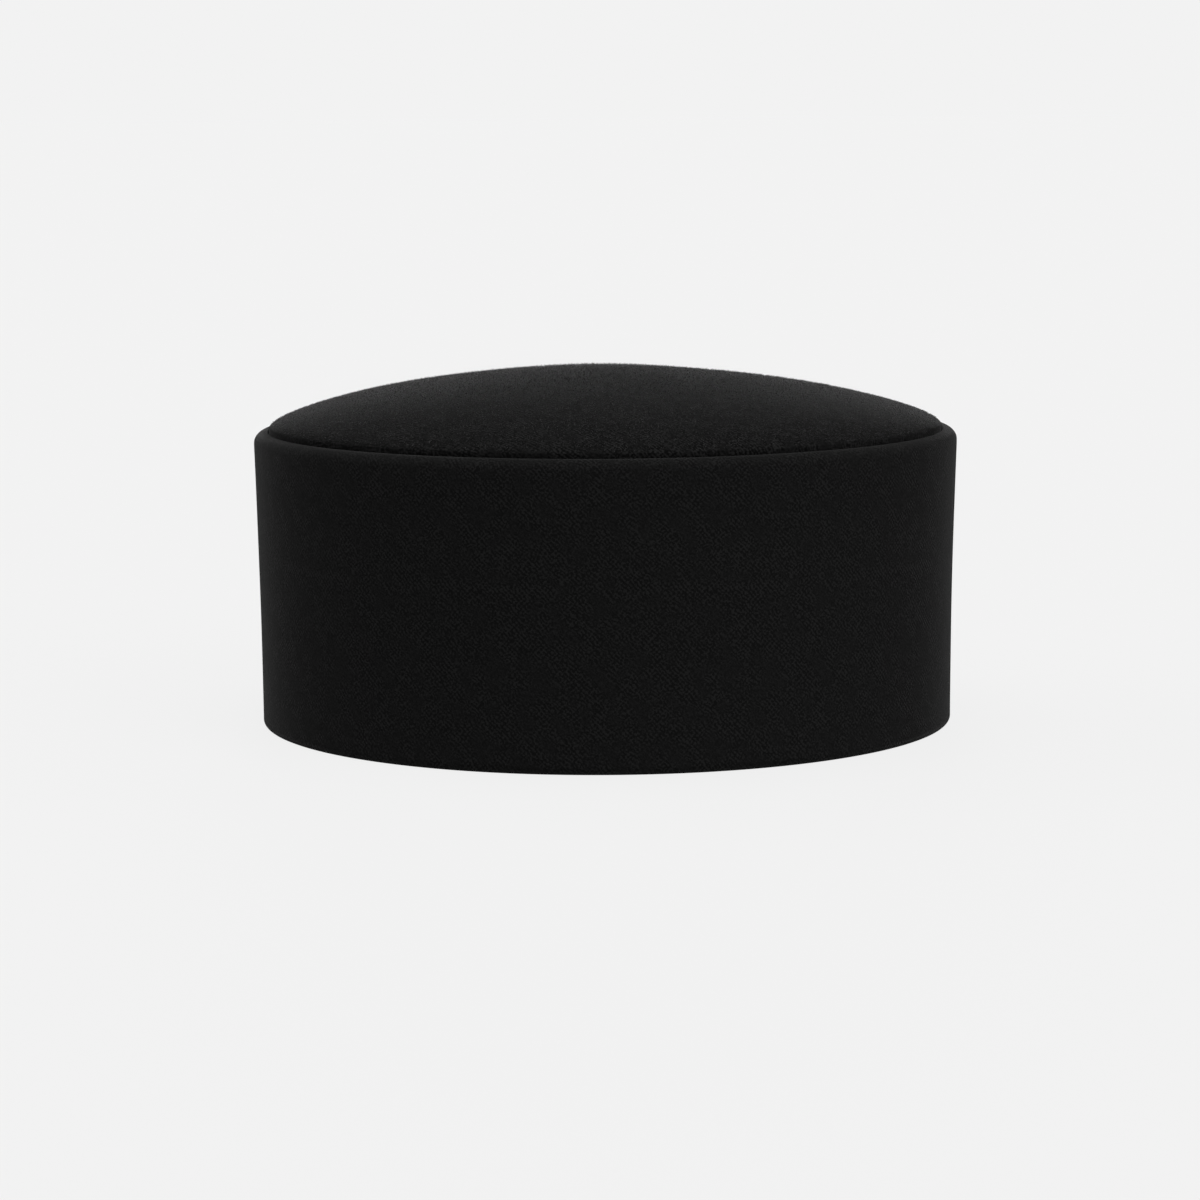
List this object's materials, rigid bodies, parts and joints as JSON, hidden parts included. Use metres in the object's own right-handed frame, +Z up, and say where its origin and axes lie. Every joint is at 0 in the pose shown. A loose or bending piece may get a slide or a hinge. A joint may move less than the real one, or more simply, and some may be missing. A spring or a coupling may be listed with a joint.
{
  "type": "wool pillbox hat",
  "caption": "Brimless round pillbox hat in black wool twill: upright side band with a soft rolled lip, domed crown set inside it, hollow for the head.",
  "frame": {"origin": "centre of the rim, on the plane that the hat rests on", "axes": "+Z up through the middle of the crown; -Y towards the front of the hat; +Y towards its centre back seam"},
  "size_m": [0.1918, 0.1918, 0.0966],
  "materials": {
    "band_wool": "matte",
    "crown_wool": "matte"
  },
  "bodies": {
    "root": {"side_band": "band_wool", "crown": "crown_wool"}
  },
  "joints": []
}
